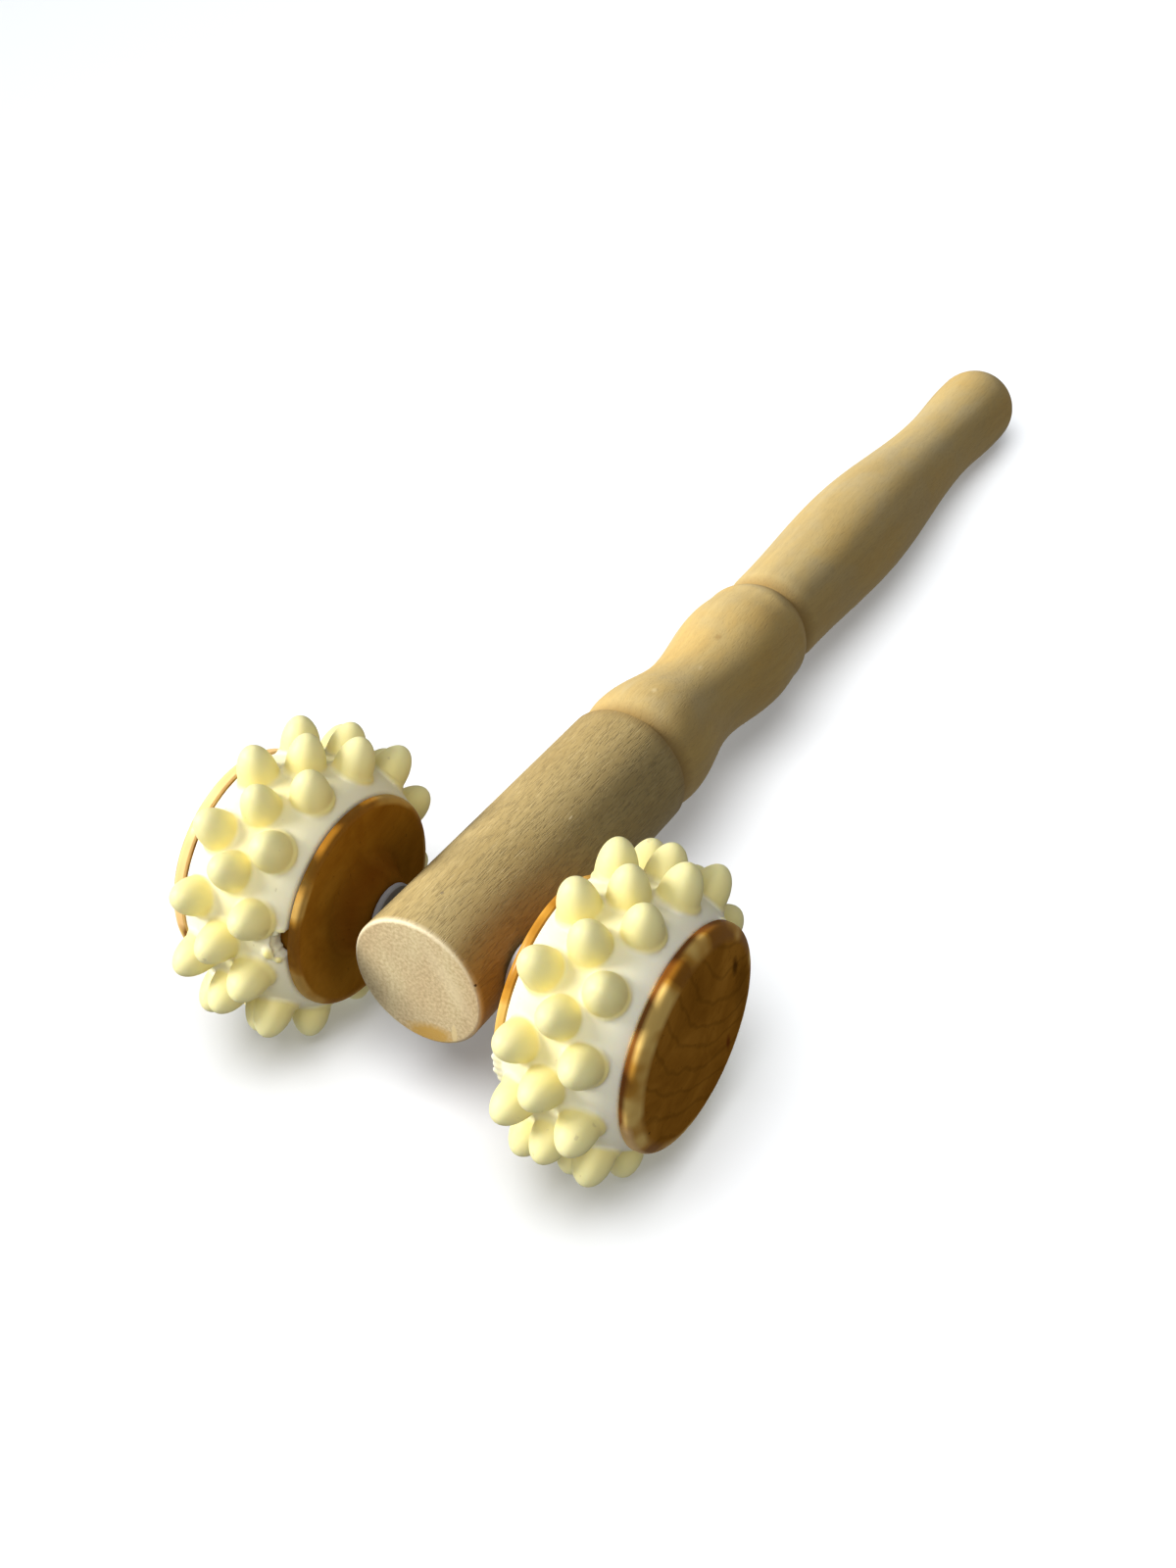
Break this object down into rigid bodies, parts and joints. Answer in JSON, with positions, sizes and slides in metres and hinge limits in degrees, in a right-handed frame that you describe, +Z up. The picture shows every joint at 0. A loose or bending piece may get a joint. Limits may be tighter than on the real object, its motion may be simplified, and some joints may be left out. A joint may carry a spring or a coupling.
{
  "type": "foot massage roller",
  "caption": "Hand-held foot massage roller: turned pale wood handle with a cross axle and a studded cream rubber wheel on each side of its flat-ended head.",
  "frame": {"origin": "on the table under the middle of the bounding box, with the roller lying on its wheels and its knob", "axes": "+Z up from the table, +X along the axle, +Y along the handle from the wheels to the knob; the handle dips by 5.0 degrees towards its knob"},
  "size_m": [0.117, 0.3196, 0.0712],
  "materials": {
    "birch": "sanded pale birch with a thin matte oil, fine pores along the handle",
    "varnished_wood": "amber varnished hardwood, satin gloss, turned edges",
    "cream_rubber": "soft cream rubber with a matte skin, slightly see-through",
    "nylon": "blue-grey nylon",
    "steel": "bright drawn steel"
  },
  "bodies": {
    "handle_body": {"handle": "birch", "axle": "steel", "left_spacer_washer": "nylon", "left_thrust_washer": "steel", "left_retaining_clip": "steel", "right_spacer_washer": "nylon", "right_thrust_washer": "steel", "right_retaining_clip": "steel"},
    "left_wheel": {"left_wheel_core": "varnished_wood", "left_wheel_cap": "varnished_wood", "left_rubber_sleeve": "cream_rubber"},
    "right_wheel": {"right_wheel_core": "varnished_wood", "right_wheel_cap": "varnished_wood", "right_rubber_sleeve": "cream_rubber"}
  },
  "joints": [
    {"name": "left_wheel_spin", "type": "hinge", "parent": "handle_body", "child": "left_wheel", "pos_m": [-0.0415, -0.12415, 0.03561], "axis": [1, 0, 0], "continuous": true},
    {"name": "right_wheel_spin", "type": "hinge", "parent": "handle_body", "child": "right_wheel", "pos_m": [0.0415, -0.12415, 0.03561], "axis": [1, 0, 0], "continuous": true}
  ]
}
